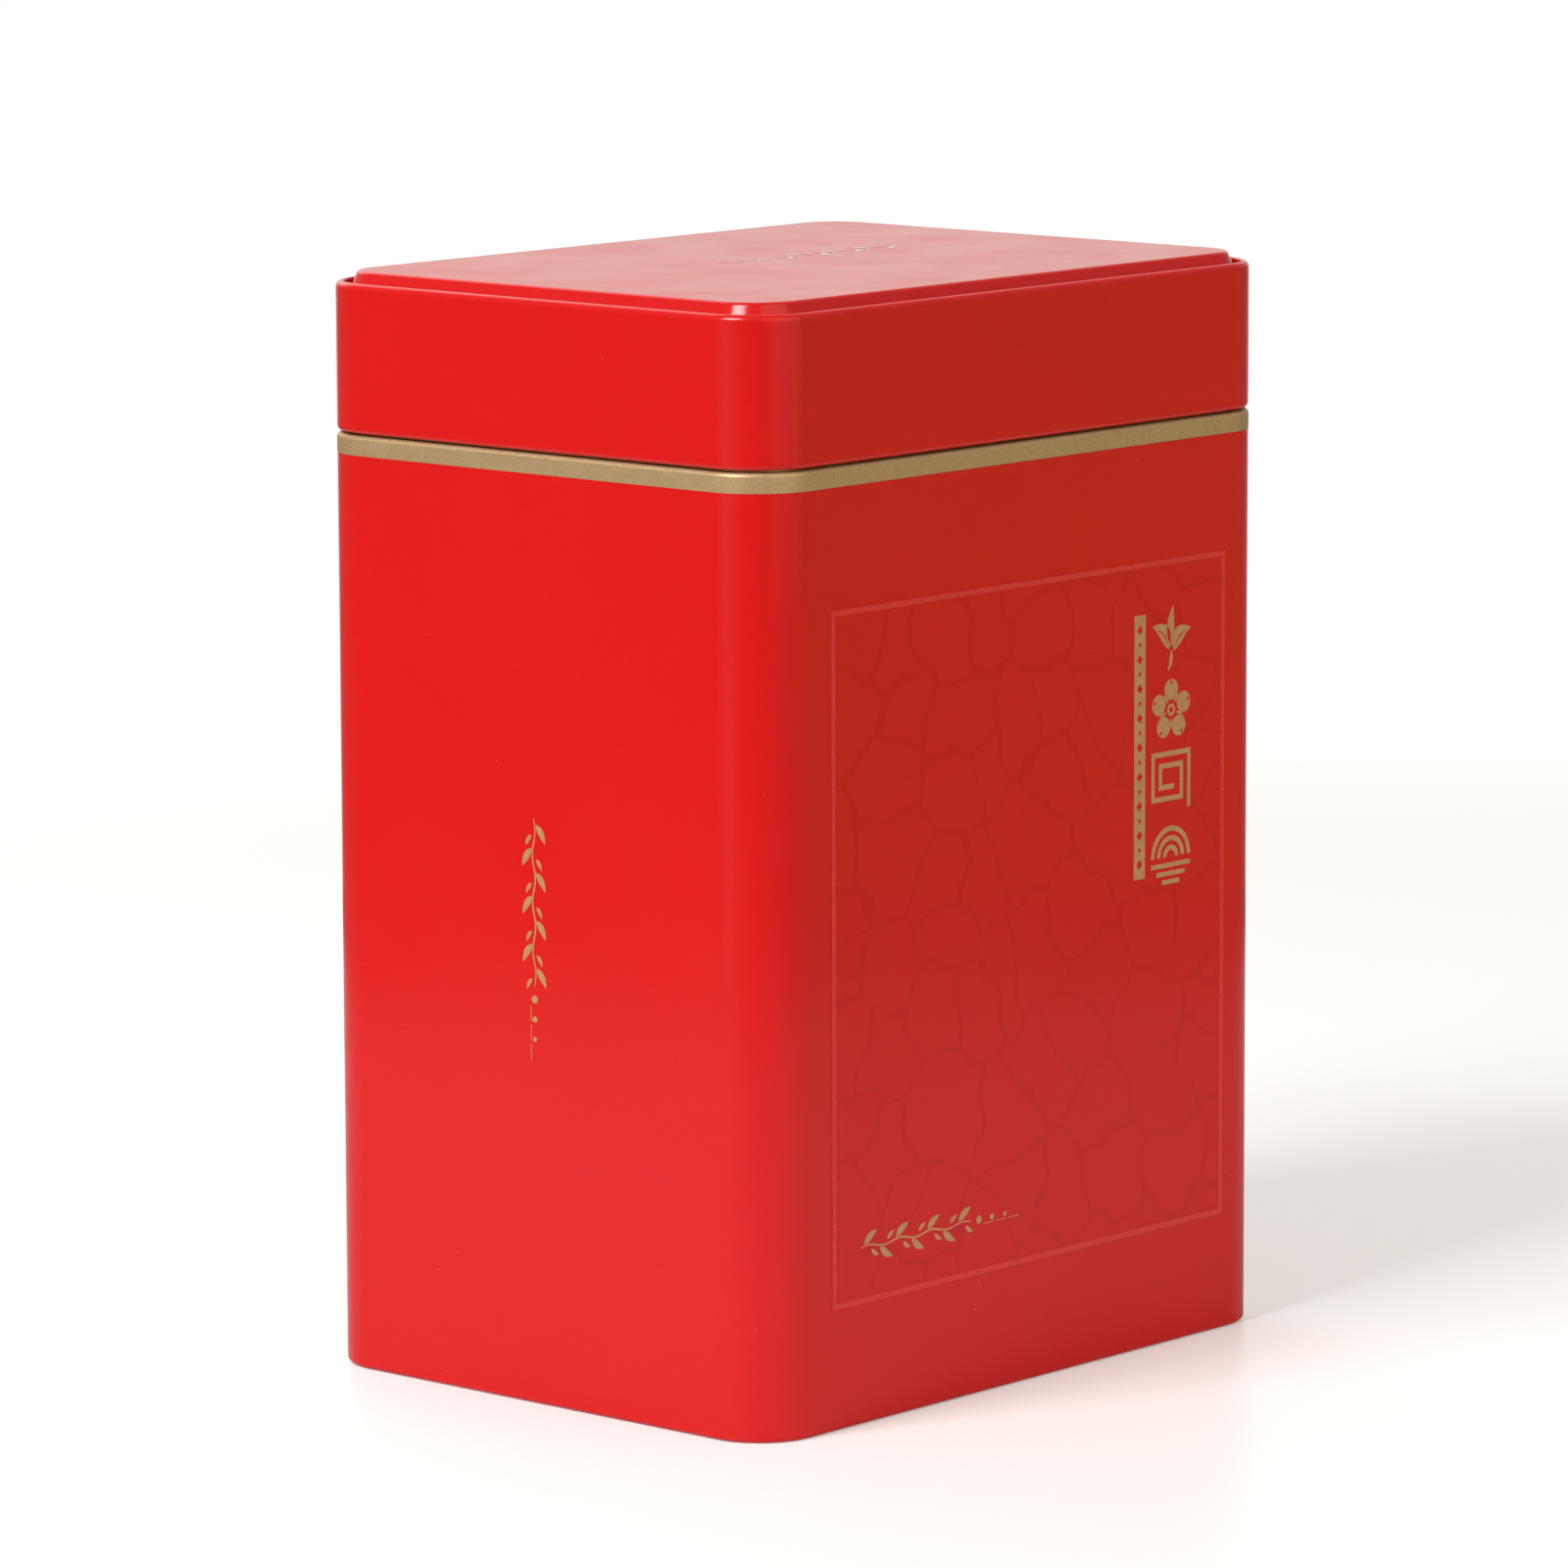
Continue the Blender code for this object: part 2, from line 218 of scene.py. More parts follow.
# ---- printed finishes ----
RED = (0.625, 0.0052, 0.0052)
DEEP_RED = (0.590, 0.0048, 0.0050)
SPECK = (0.70, 0.18, 0.15)
CRACK_RED = (0.560, 0.0042, 0.0045)
LINE_RED = (0.72, 0.060, 0.062)
PRINT_SPECULAR = 0.4
VARNISH_ROUGHNESS = 0.19
LINE_ROUGHNESS = 0.21
HATCH_PITCH = 0.55 * MM
HATCH_STRENGTH = 0.28


def red_ground(tree, place):
    """Printed red with the slow drift and the fine grain of an ink film, and specks of dust."""
    drift = noise_at(tree, place, 18.0, detail=1.0)
    grain = noise_at(tree, place, 2600.0, detail=1.0)
    shade = maths(tree, "ADD", remap(tree, drift, 0.3, 0.7, 0.0, 0.5),
                  remap(tree, grain, 0.3, 0.7, 0.0, 0.35))
    colour = mix_colour(tree, shade, RED, DEEP_RED)
    specks = dust_specks(tree, place, 150.0, 0.13 * MM)
    return mix_colour(tree, specks, colour, SPECK), specks


def satin_relief(tree, place, shader, specks, roughness):
    """Orange peel in the varnish, and a roughness that varies a little."""
    peel = noise_at(tree, place, 700.0, detail=2.0)
    height = maths(tree, "ADD", peel, maths(tree, "MULTIPLY", specks, 2.0))
    bump(tree, shader, height, 0.0006 * MM)
    smear = noise_at(tree, place, 60.0, detail=3.0)
    tree.links.new(remap(tree, smear, 0.3, 0.7, roughness - 0.03, roughness + 0.03),
                   shader.inputs["Roughness"])


def red_print(name):
    """The red of the walls and the lid under its varnish."""
    material, tree, shader, place = new_material(name, specular=PRINT_SPECULAR)
    colour, specks = red_ground(tree, place)
    tree.links.new(colour, shader.inputs["Base Color"])
    satin_relief(tree, place, shader, specks, VARNISH_ROUGHNESS)
    return material


def crackle(tree, place):
    """1 on the lines of an ice-crack net over the XZ plane, and a fine hatch inside its cells."""
    apart = add_node(tree, "ShaderNodeSeparateXYZ", None, {0: place}).outputs
    flat = add_node(tree, "ShaderNodeCombineXYZ", None, {0: apart[0], 1: apart[2]}).outputs[0]
    wander = add_node(tree, "ShaderNodeTexNoise", {"noise_dimensions": "2D"},
                      {"Vector": flat, "Scale": 90.0, "Detail": 1.0}).outputs["Color"]
    centred = add_node(tree, "ShaderNodeVectorMath", {"operation": "SUBTRACT"},
                       {0: wander, 1: (0.5, 0.5, 0.5)}).outputs[0]
    shifted = add_node(tree, "ShaderNodeVectorMath", {"operation": "MULTIPLY_ADD"},
                       {0: centred, 1: (0.008, 0.008, 0.0), 2: flat}).outputs[0]
    net = {"Vector": shifted, "Scale": 68.0, "Randomness": 1.0}
    edge = add_node(tree, "ShaderNodeTexVoronoi",
                    {"voronoi_dimensions": "2D", "feature": "DISTANCE_TO_EDGE"}, net)
    line = remap(tree, edge.outputs["Distance"], 0.024, 0.045, 1.0, 0.0, smooth=True)
    cell = add_node(tree, "ShaderNodeTexVoronoi", {"voronoi_dimensions": "2D"}, net)
    turn = add_node(tree, "ShaderNodeSeparateXYZ", None, {0: cell.outputs["Color"]}).outputs[0]
    turned = add_node(tree, "ShaderNodeVectorRotate", {"rotation_type": "Z_AXIS"},
                      {"Vector": flat, "Angle": maths(tree, "MULTIPLY", turn, math.pi)})
    along = add_node(tree, "ShaderNodeSeparateXYZ", None, {0: turned.outputs[0]}).outputs[0]
    wave = maths(tree, "SINE", maths(tree, "MULTIPLY", along, math.tau / HATCH_PITCH))
    return line, remap(tree, wave, 0.2, 1.0, 0.0, 1.0)


def crackle_print(name):
    """The red of the framed panels, with an ice-crack net and hatched cells a shade darker."""
    material, tree, shader, place = new_material(name, specular=PRINT_SPECULAR)
    colour, specks = red_ground(tree, place)
    line, hatch = crackle(tree, place)
    ink = maths(tree, "MAXIMUM", line, maths(tree, "MULTIPLY", hatch, HATCH_STRENGTH))
    tree.links.new(mix_colour(tree, ink, colour, CRACK_RED), shader.inputs["Base Color"])
    satin_relief(tree, place, shader, specks, VARNISH_ROUGHNESS)
    return material


def line_print(name):
    """The slightly paler line that frames a panel."""
    material, tree, shader, place = new_material(name, specular=PRINT_SPECULAR)
    grain = noise_at(tree, place, 2600.0, detail=1.0)
    colour = mix_colour(tree, grain, LINE_RED, RED)
    tree.links.new(colour, shader.inputs["Base Color"])
    specks = dust_specks(tree, place, 150.0, 0.1 * MM)
    satin_relief(tree, place, shader, specks, LINE_ROUGHNESS)
    return material


def gold_print(name, dark, light, metallic, varnish):
    """Gold ink: fine uneven flakes, bare or under a share of varnish."""
    material, tree, shader, place = new_material(name, metallic, PRINT_SPECULAR, varnish, 0.12)
    flake = add_node(tree, "ShaderNodeTexVoronoi", None, {"Vector": place, "Scale": 3800.0})
    tone = add_node(tree, "ShaderNodeSeparateXYZ", None, {0: flake.outputs["Color"]}).outputs[0]
    cloud = noise_at(tree, place, 420.0, detail=2.0)
    shade = maths(tree, "ADD", maths(tree, "MULTIPLY", tone, 0.6),
                  maths(tree, "MULTIPLY", cloud, 0.4))
    colour = mix_colour(tree, shade, dark, light)
    tree.links.new(colour, shader.inputs["Base Color"])
    tree.links.new(remap(tree, tone, 0.0, 1.0, 0.42, 0.56), shader.inputs["Roughness"])
    bump(tree, shader, tone, 0.002 * MM)
    return material


# ---- metal finishes ----
def rolled_sheet(name, dark, light, roughness, stretch):
    """Bright sheet with rolling lines along one axis and a faint crystal pattern in the tin."""
    material, tree, shader, place = new_material(name, metallic=1.0)
    lines = noise_at(tree, place, 900.0, detail=3.0, stretch=stretch)
    crystal = add_node(tree, "ShaderNodeTexVoronoi", None, {"Vector": place, "Scale": 240.0})
    apart = add_node(tree, "ShaderNodeSeparateXYZ", None, {0: crystal.outputs["Color"]}).outputs
    cloud = noise_at(tree, place, 35.0, detail=3.0)
    shade = maths(tree, "ADD", maths(tree, "MULTIPLY", lines, 0.5),
                  maths(tree, "ADD", maths(tree, "MULTIPLY", apart[0], 0.18),
                        maths(tree, "MULTIPLY", cloud, 0.4)))
    tree.links.new(mix_colour(tree, shade, dark, light), shader.inputs["Base Color"])
    tree.links.new(remap(tree, shade, 0.2, 0.9, roughness + 0.08, roughness - 0.05),
                   shader.inputs["Roughness"])
    bump(tree, shader, lines, 0.0016 * MM)
    return material


def turned_metal(name, dark, light, roughness):
    """Polished metal with the fine rings that a lathe tool leaves round the Z axis."""
    material, tree, shader, place = new_material(name, metallic=1.0)
    apart = add_node(tree, "ShaderNodeSeparateXYZ", None, {0: place}).outputs
    across = add_node(tree, "ShaderNodeCombineXYZ", None, {0: apart[0], 1: apart[1]}).outputs[0]
    radius = add_node(tree, "ShaderNodeVectorMath", {"operation": "LENGTH"}, {0: across})
    profile = add_node(tree, "ShaderNodeCombineXYZ", None,
                       {0: radius.outputs["Value"], 2: apart[2]}).outputs[0]
    rings = noise_at(tree, profile, 3200.0, detail=2.0)
    scuff = noise_at(tree, place, 300.0, detail=4.0)
    shade = maths(tree, "ADD", maths(tree, "MULTIPLY", rings, 0.5),
                  maths(tree, "MULTIPLY", scuff, 0.5))
    tree.links.new(mix_colour(tree, shade, dark, light), shader.inputs["Base Color"])
    tree.links.new(remap(tree, scuff, 0.3, 0.7, roughness - 0.05, roughness + 0.07),
                   shader.inputs["Roughness"])
    bump(tree, shader, rings, 0.0025 * MM)
    return material


# ---- sections: points of (inset from the outside face, height) ----
def bend(inset, height, radius, start, end, steps=10):
    """Points round a centre, with angles in degrees: 0 inward, 90 up, 180 outward, 270 down."""
    points = []
    for i in range(steps + 1):
        angle = math.radians(start + (end - start) * i / steps)
        points.append((inset + radius * math.cos(angle), height + radius * math.sin(angle)))
    return points


def joggle(inset, height, end_inset, end_height, steps=14):
    """Points of a smooth sideways step between two upright walls."""
    points = []
    for i in range(steps + 1):
        share = i / steps
        eased = (1 - math.cos(math.pi * share)) / 2
        points.append((inset + (end_inset - inset) * eased, height + (end_height - height) * share))
    return points


def joggle_panel(inset, height, slope, end_height, steps=10):
    """Points of a soft step up between two flat parts of a panel."""
    points = []
    for i in range(steps + 1):
        share = i / steps
        eased = (1 - math.cos(math.pi * share)) / 2
        points.append((inset + slope * share, height + (end_height - height) * eased))
    return points


# ---- sheet pieces ----
SEAM_X = 42.0 * MM             # lock seam on the back wall, as a shallow groove
SEAM_DEPTH = 0.14 * MM
SEAM_TOP = 0.34 * MM           # half widths of the groove
SEAM_FLOOR = 0.12 * MM
SEAM_PROFILE = ((SEAM_TOP, 0.0), (SEAM_FLOOR, SEAM_DEPTH), (-SEAM_FLOOR, SEAM_DEPTH), (-SEAM_TOP, 0.0))


def plan_outline(inset, height, seamed=False):
    """The rounded-rectangle plan, offset inward by inset, with the seam's groove at the back."""
    radius = max(CORNER_RADIUS - inset, PANEL_CORNER_RADIUS)
    centre_x = HALF_WIDTH - inset - radius
    centre_y = HALF_DEPTH - inset - radius
    points = []
    for quarter, (side_x, side_y) in enumerate(((1, 1), (-1, 1), (-1, -1), (1, -1))):
        for i in range(CORNER_STEPS + 1):
            angle = math.radians(90) * (quarter + i / CORNER_STEPS)
            x = side_x * centre_x + radius * math.cos(angle)
            y = side_y * centre_y + radius * math.sin(angle)
            points.append(Vector((x, y, height)))
        if quarter == 0 and seamed:
            points += [Vector((SEAM_X + shift, HALF_DEPTH - inset - depth, height))
                       for shift, depth in SEAM_PROFILE]
    return points


def extruded_ring(bm, place, ring, points):
    """Extrudes the ring and moves each new vertex to its place among the points."""
    geometry = bmesh.ops.extrude_edge_only(bm, edges=ring)["geom"]
    for item in geometry:
        if isinstance(item, bmesh.types.BMVert):
            item.co = points[item[place]]
    return [item for item in geometry
            if isinstance(item, bmesh.types.BMEdge) and item.is_boundary]


def face_skin_out(bm, first, second, first_strip):
    """Turns all faces to the left of the section's path, as seen with inward to the right."""
    bmesh.ops.recalc_face_normals(bm, faces=bm.faces[:])
    bm.normal_update()
    skin = Vector((0, first[1] - second[1], second[0] - first[0]))
    bm.faces.ensure_lookup_table()
    front = min(bm.faces[:first_strip], key=lambda face: face.calc_center_median().y)
    if front.normal.dot(skin) < 0:
        bmesh.ops.reverse_faces(bm, faces=bm.faces[:])


def new_object(name, bm, materials):
    """Makes a smooth-shaded object of the bmesh, which it frees."""
    mesh = bpy.data.meshes.new(name)
    bm.to_mesh(mesh)
    bm.free()
    mesh.shade_smooth()
    for material in materials:
        mesh.materials.append(material)
    obj = bpy.data.objects.new(name, mesh)
    bpy.context.scene.collection.objects.link(obj)
    return obj


def even_shading(obj):
    """Keeps flat panels flat between smooth bends."""
    obj.data.set_sharp_from_angle(angle=SHARP_ANGLE)
    weighted = obj.modifiers.new("even_shading", "WEIGHTED_NORMAL")
    weighted.weight = 100
    weighted.keep_sharp = True


def sheet_piece(name, section, materials, thickness=SHEET, setback=0.0, last_ring=None,
                seamed=False):
    """Sheet that follows the section all round the plan, with its thickness behind the skin.

    The first material is on the skin and the last on the far side. A last_ring function adds
    a flat panel inside the section: the ring it returns, or a closed panel if it returns None.
    """
    bm = bmesh.new()
    place = bm.verts.layers.int.new("place")
    outline = plan_outline(*section[0], seamed)
    verts = [bm.verts.new(point) for point in outline]
    for number, vert in enumerate(verts):
        vert[place] = number
    ring = [bm.edges.new((verts[i - 1], verts[i])) for i in range(len(verts))]
    for inset, height in section[1:]:
        ring = extruded_ring(bm, place, ring, plan_outline(inset, height, seamed))
    if last_ring is not None:
        points = last_ring(plan_outline(*section[-1], seamed))
        if points is None:
            bmesh.ops.edgeloop_fill(bm, edges=ring)
        else:
            extruded_ring(bm, place, ring, points)
    face_skin_out(bm, section[0], section[1], len(outline))
    obj = new_object(name, bm, materials)
    solidify = obj.modifiers.new("sheet_thickness", "SOLIDIFY")
    solidify.thickness = thickness
    solidify.offset = -1 - 2 * setback / thickness
    solidify.use_even_offset = True
    solidify.material_offset = len(materials) - 1
    solidify.material_offset_rim = len(materials) - 1
    even_shading(obj)
    return obj


def closed_panel(_outline):
    """Says that the panel has no hole, so it closes from edge to edge."""
    return None


def rivet_hole(outline):
    """A round hole on the axis, with a point for each point of the outline round it."""
    return [Vector((point.x, point.y, 0)).normalized() * RIVET_HOLE_RADIUS + Vector((0, 0, point.z))
            for point in outline]


def body_wall(red, lacquer):
    """The printed wall, turned in at the foot and at the mouth."""
    section = [(FOOT_LIP_INSET, 0.0)]
    section += bend(FOOT_RADIUS, FOOT_RADIUS, FOOT_RADIUS, 270, 180)
    section += bend(MOUTH_RADIUS, BODY_TOP - MOUTH_RADIUS, MOUTH_RADIUS, 180, 90)
    section += [(MOUTH_LIP_INSET, BODY_TOP)]
    return sheet_piece("printed_body", section, [red, lacquer], setback=SETBACK, seamed=True)


def gold_band(gold):
    """Gold ink round the top of the body and over the turned-in mouth."""
    section = [(0.0, GOLD_BAND_BOTTOM)]
    section += bend(MOUTH_RADIUS, BODY_TOP - MOUTH_RADIUS, MOUTH_RADIUS, 180, 90)
    section += [(MOUTH_LIP_INSET, BODY_TOP)]
    return sheet_piece("gold_band", section, [gold], INK_FILM, INK_LIFT, seamed=True)


def base_panel(tinplate):
    """The pressed bottom: a flange on the turned-in foot, a short wall and a stepped panel."""
    section = [(BASE_FLANGE_INSET, BASE_FLANGE_TOP)]
    section += bend(BASE_WALL_INSET - BASE_BEND, BASE_FLANGE_TOP + BASE_BEND, BASE_BEND, 270, 360)
    section += bend(BASE_WALL_INSET + BASE_BEND, BASE_FLOOR_TOP - BASE_BEND, BASE_BEND, 180, 90)
    section += joggle_panel(BASE_BEAD_INSET, BASE_FLOOR_TOP, BASE_BEAD_SLOPE, BASE_HIGH.z)
    return sheet_piece("tinplate_base", section, [tinplate], last_ring=closed_panel)


def neck_ring(lacquer):
    """The collar inside the mouth, joggled in under the lid and beaded at its top."""
    bead_height = NECK_TOP - NECK_BEAD_RADIUS
    section = [(NECK_SEAT_INSET, NECK_SEAT_BOTTOM)]
    section += joggle(NECK_SEAT_INSET, NECK_JOGGLE_BOTTOM, NECK_INSET, NECK_JOGGLE_TOP)
    section += bend(NECK_INSET + NECK_BEAD_RADIUS, bead_height, NECK_BEAD_RADIUS,
                    180, NECK_BEAD_END, steps=20)
    return sheet_piece("beaded_neck", section, [lacquer])


def lid_skirt(red, lacquer):
    """The lid's side band: a hem below, and a rolled rim folded down into a leg above."""
    section = [(2 * HEM_RADIUS, LID_BOTTOM + HEM_LEG)]
    section += bend(HEM_RADIUS, LID_BOTTOM + HEM_RADIUS, HEM_RADIUS, 0, -180, steps=20)
    section += bend(RIM_RADIUS, RIM_TOP - RIM_RADIUS, RIM_RADIUS, 180, 90)
    section += bend(RIM_RADIUS, RIM_TOP - RIM_FOLD_RADIUS, RIM_FOLD_RADIUS, 90, 0)[1:]
    section += [(RIM_RADIUS + RIM_FOLD_RADIUS, RIM_LEG_BOTTOM)]
    return sheet_piece("printed_skirt", section, [red, lacquer], setback=SETBACK, seamed=True)


def tapered_side(height, reach):
    """The centre, at a height, of a bend that meets the plateau's leaning side at a reach."""
    lean = math.radians(PLATEAU_TAPER)
    rise = height + reach * math.sin(lean) - RIM_TOP
    return PLATEAU_INSET + rise * math.tan(lean) + reach * math.cos(lean), height


def lid_top(red, lacquer):
    """The stamped top: a flange inside the skirt, a trench and a raised plateau."""
    trench_bend = tapered_side(TRENCH_FLOOR + TRENCH_BEND, -TRENCH_BEND)
    edge_bend = tapered_side(HEIGHT - PLATEAU_RADIUS, PLATEAU_RADIUS)
    section = [(LID_FLANGE_INSET, LID_FLANGE_BOTTOM)]
    section += bend(LID_FLANGE_INSET + TRENCH_BEND, TRENCH_FLOOR - TRENCH_BEND, TRENCH_BEND,
                    180, 90)
    section += bend(*trench_bend, TRENCH_BEND, 270, 360 - PLATEAU_TAPER)
    section += bend(*edge_bend, PLATEAU_RADIUS, 180 - PLATEAU_TAPER, 90)
    return sheet_piece("printed_lid_top", section, [red, lacquer], setback=SETBACK,
                       last_ring=closed_panel)


def inner_lid_pan(lacquer):
    """The press-in lid: a rolled edge on the neck, a deep wall and a stepped floor."""
    roll_radius = PAN_ROLL_RADIUS + SHEET
    section = bend(PAN_RIM_INSET + roll_radius, PAN_FLANGE_TOP + PAN_ROLL_RADIUS, PAN_ROLL_RADIUS,
                   PAN_ROLL_START, 270, steps=20)
    section += bend(PAN_WALL_INSET - PAN_SHOULDER_RADIUS, PAN_FLANGE_TOP - PAN_SHOULDER_RADIUS,
                    PAN_SHOULDER_RADIUS, 90, 0)
    section += bend(PAN_WALL_INSET + PAN_FLOOR_RADIUS, PAN_FLOOR_TOP + PAN_FLOOR_RADIUS,
                    PAN_FLOOR_RADIUS, 180, 270)
    section += joggle_panel(PAN_BEAD_INSET, PAN_FLOOR_TOP, PAN_BEAD_SLOPE, PAN_PANEL_TOP)
    return sheet_piece("lacquered_pan", section, [lacquer], last_ring=rivet_hole)


# ---- turned pieces: profiles of (radius, height), top to bottom down the outer side ----
def turned_piece(name, profile, material):
    """The profile turned round the Z axis."""
    bm = bmesh.new()
    verts = [bm.verts.new((radius, 0, height)) for radius, height in profile]
    edges = [bm.edges.new(pair) for pair in zip(verts, verts[1:])]
    bmesh.ops.spin(bm, geom=verts + edges, cent=(0, 0, 0), axis=(0, 0, 1),
                   angle=math.tau, steps=TURN_STEPS, use_merge=True)
    bmesh.ops.remove_doubles(bm, verts=bm.verts[:], dist=0.001 * MM)
    bmesh.ops.recalc_face_normals(bm, faces=bm.faces[:])
    obj = new_object(name, bm, [material])
    even_shading(obj)
    return obj


def knob(gold_metal):
    """A crowned head, a hollow waist and a stepped foot, bored from below for the rivet."""
    top, bottom, head = KNOB_HIGH.z, KNOB_LOW.z, KNOB_HIGH.x
    profile = [(0.0, top)]
    profile += bend(head - KNOB_EDGE_RADIUS, top - KNOB_EDGE_RADIUS - KNOB_CROWN, KNOB_EDGE_RADIUS,
                    90, -60, steps=18)
    profile += bend(head - KNOB_WAIST_REACH, bottom + KNOB_WAIST_RISE, KNOB_WAIST_RADIUS,
                    115, 205, steps=14)
    profile += bend(KNOB_FOOT_RADIUS - KNOB_FOOT_EDGE, bottom + KNOB_FOOT_RISE - KNOB_FOOT_EDGE,
                    KNOB_FOOT_EDGE, 90, 0, steps=5)
    profile += [(KNOB_FOOT_RADIUS, bottom), (RIVET_HOLE_RADIUS, bottom)]
    profile += [(RIVET_HOLE_RADIUS, RIVET_HIGH.z + GAP), (0.0, RIVET_HIGH.z + GAP)]
    return turned_piece("turned_knob", profile, gold_metal)


def rivet(steel):
    """A shank through the pan into the knob, and a domed head below the pan."""
    top, head = RIVET_HIGH.z, RIVET_HIGH.x
    head_top = PAN_PANEL_TOP - SHEET - GAP
    dome_top = head_top - RIVET_HEAD_EDGE
    profile = [(0.0, top), (RIVET_SHANK_RADIUS - RIVET_CHAMFER, top)]
    profile += [(RIVET_SHANK_RADIUS, top - RIVET_CHAMFER), (RIVET_SHANK_RADIUS, head_top)]
    profile += [(head, head_top)]
    for degrees in range(0, 91, 9):
        angle = math.radians(degrees)
        fall = (dome_top - RIVET_LOW.z) * math.sin(angle)
        profile.append((head * math.cos(angle), dome_top - fall))
    return turned_piece("pan_rivet", profile, steel)


def main_pieces():
    """The sheet and turned pieces, each with its finish, and then the printed films."""
    red = red_print("red_litho")
    gold = gold_print("gold_ink", (0.44, 0.29, 0.135), (0.63, 0.44, 0.245), 0.6, 0.0)
    thin_gold = gold_print("thin_gold_ink", (0.48, 0.242, 0.097), (0.69, 0.364, 0.158), 0.4, 1.0)
    lid_gold = gold_print("lid_gold_ink", (0.66, 0.49, 0.30), (0.84, 0.66, 0.44), 1.0, 1.0)
    lacquer = rolled_sheet("gold_lacquer", (0.44, 0.29, 0.11), (0.70, 0.52, 0.26), 0.27,
                           (1.0, 1.0, 0.02))
    tinplate = rolled_sheet("bright_tinplate", (0.42, 0.41, 0.39), (0.72, 0.71, 0.68), 0.28,
                            (0.02, 1.0, 1.0))
    brass = turned_metal("turned_gold", (0.52, 0.35, 0.13), (0.80, 0.60, 0.30), 0.17)
    steel = turned_metal("rivet_steel", (0.45, 0.44, 0.43), (0.70, 0.69, 0.68), 0.27)
    finish(body_wall(red, lacquer), "body", "body_print", "body_wall")
    finish(gold_band(gold), "body", "body_print")
    finish(base_panel(tinplate), "body", "base_tinplate", "base_panel")
    finish(neck_ring(lacquer), "body", "neck_lacquer", "neck_ring")
    finish(lid_skirt(red, lacquer), "lid", "lid_print", "lid_skirt")
    finish(lid_top(red, lacquer), "lid", "lid_top_print", "lid_top_panel")
    finish(inner_lid_pan(lacquer), "inner_lid", "pan_lacquer", "inner_lid_pan")
    finish(knob(brass), "inner_lid", "knob_gold", "inner_lid_knob")
    finish(rivet(steel), "inner_lid", "rivet_steel", "knob_rivet")
    litho(thin_gold, lid_gold)


def finish(obj, body, slot, *nodes):
    """Says what the piece rides on and which nodes it stands for; the slot, whose finish it would
    take, is not used.
    """
    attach(obj, body)
    if nodes:
        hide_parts(*nodes)


# ---- ink outlines: lists of (across, up), in mm, none crossing another ----
def leaf(base, tip, width, bow=0.0, steps=14):
    """A pointed leaf whose middle line bows sideways by bow."""
    base, tip = Vector(base), Vector(tip)
    along = tip - base
    side = Vector((-along.y, along.x)).normalized()
    left, right = [], []
    for i in range(steps + 1):
        share = i / steps
        middle = base + along * share + side * bow * 4 * share * (1 - share)
        half = width / 2 * math.sin(math.pi * share ** 0.8) ** 0.9 if 0 < i < steps else 0.0
        left.append(middle + side * half)
        if half:
            right.append(middle - side * half)
    return left + right[::-1]


def stroke(path, width, taper=0.25):
    """A brush line along the path, thinner towards both ends."""
    path = [Vector(point) for point in path]
    left, right = [], []
    for i, point in enumerate(path):
        ahead = path[min(i + 1, len(path) - 1)] - path[max(i - 1, 0)]
        side = Vector((-ahead.y, ahead.x)).normalized()
        share = i / (len(path) - 1)
        half = width / 2 * (taper + (1 - taper) * math.sin(math.pi * share) ** 0.6)
        left.append(point + side * half)
        right.append(point - side * half)
    return left + right[::-1]


def round_point(middle, radius, angle):
    """The point of a circle at an angle, in radians from the across axis."""
    return Vector((middle[0] + radius * math.cos(angle), middle[1] + radius * math.sin(angle)))


def dot(middle, radius, steps=20):
    """A round dot."""
    return [round_point(middle, radius, math.tau * i / steps) for i in range(steps)]


def moved(outline, shift):
    """The outline, moved across and up."""
    return [Vector(point) + Vector(shift) for point in outline]


def rectangle(middle, size):
    """A rectangle of a (width, height) about its middle."""
    (x, y), (width, height) = middle, size
    return [Vector((x + sx * width / 2, y + sy * height / 2))
            for sx, sy in ((-1, -1), (1, -1), (1, 1), (-1, 1))]


def lozenge(middle, width, height):
    """A square on its corner, squeezed to a width and a height."""
    x, y = middle
    return [Vector(point) for point in
            ((x - width / 2, y), (x, y - height / 2), (x + width / 2, y), (x, y + height / 2))]


def turned_outline(outline, degrees):
    """The outline, turned anticlockwise about the origin."""
    turn = Matrix.Rotation(math.radians(degrees), 2)
    return [turn @ point for point in outline]


def veined_leaf(base, tip, width, bow):
    """A leaf with its midrib left open as a slit."""
    base, tip = Vector(base), Vector(tip)
    rib = leaf(base.lerp(tip, 0.1), base.lerp(tip, 0.82), 0.34, bow * 0.72)
    return [leaf(base, tip, width, bow), rib]


def bud_motif():
    """A tea shoot: a bud between two broad leaves."""
    bud = leaf((0, -1.6), (0.5, 6.1), 2.1, 0.5)
    left = veined_leaf((-0.55, -2.0), (-5.6, 2.6), 3.0, -1.3)
    right = veined_leaf((0.6, -2.3), (5.7, 1.5), 3.0, 1.3)
    stem = stroke([(0.0, -2.2), (0.0, -3.4), (-0.25, -4.7), (-0.9, -5.9)], 0.95)
    return [bud, *left, *right, stem]


def blossom_motif():
    """Five round petals about a ringed heart with a stamen in each gap."""
    turns = [72 * i for i in range(5)]
    petals = [turned_outline(dot((0, 3.75), 1.95, 32), -turn) for turn in turns]
    notches = [turned_outline(leaf((0, 4.6), (0, 5.65), 0.5), -turn) for turn in turns]
    stamens = [turned_outline(leaf((0, 1.45), (0, 3.6), 0.55), 36 + turn) for turn in turns]
    return petals + notches + stamens + [dot((0, 0), 1.15), dot((0, 0), 0.55)]


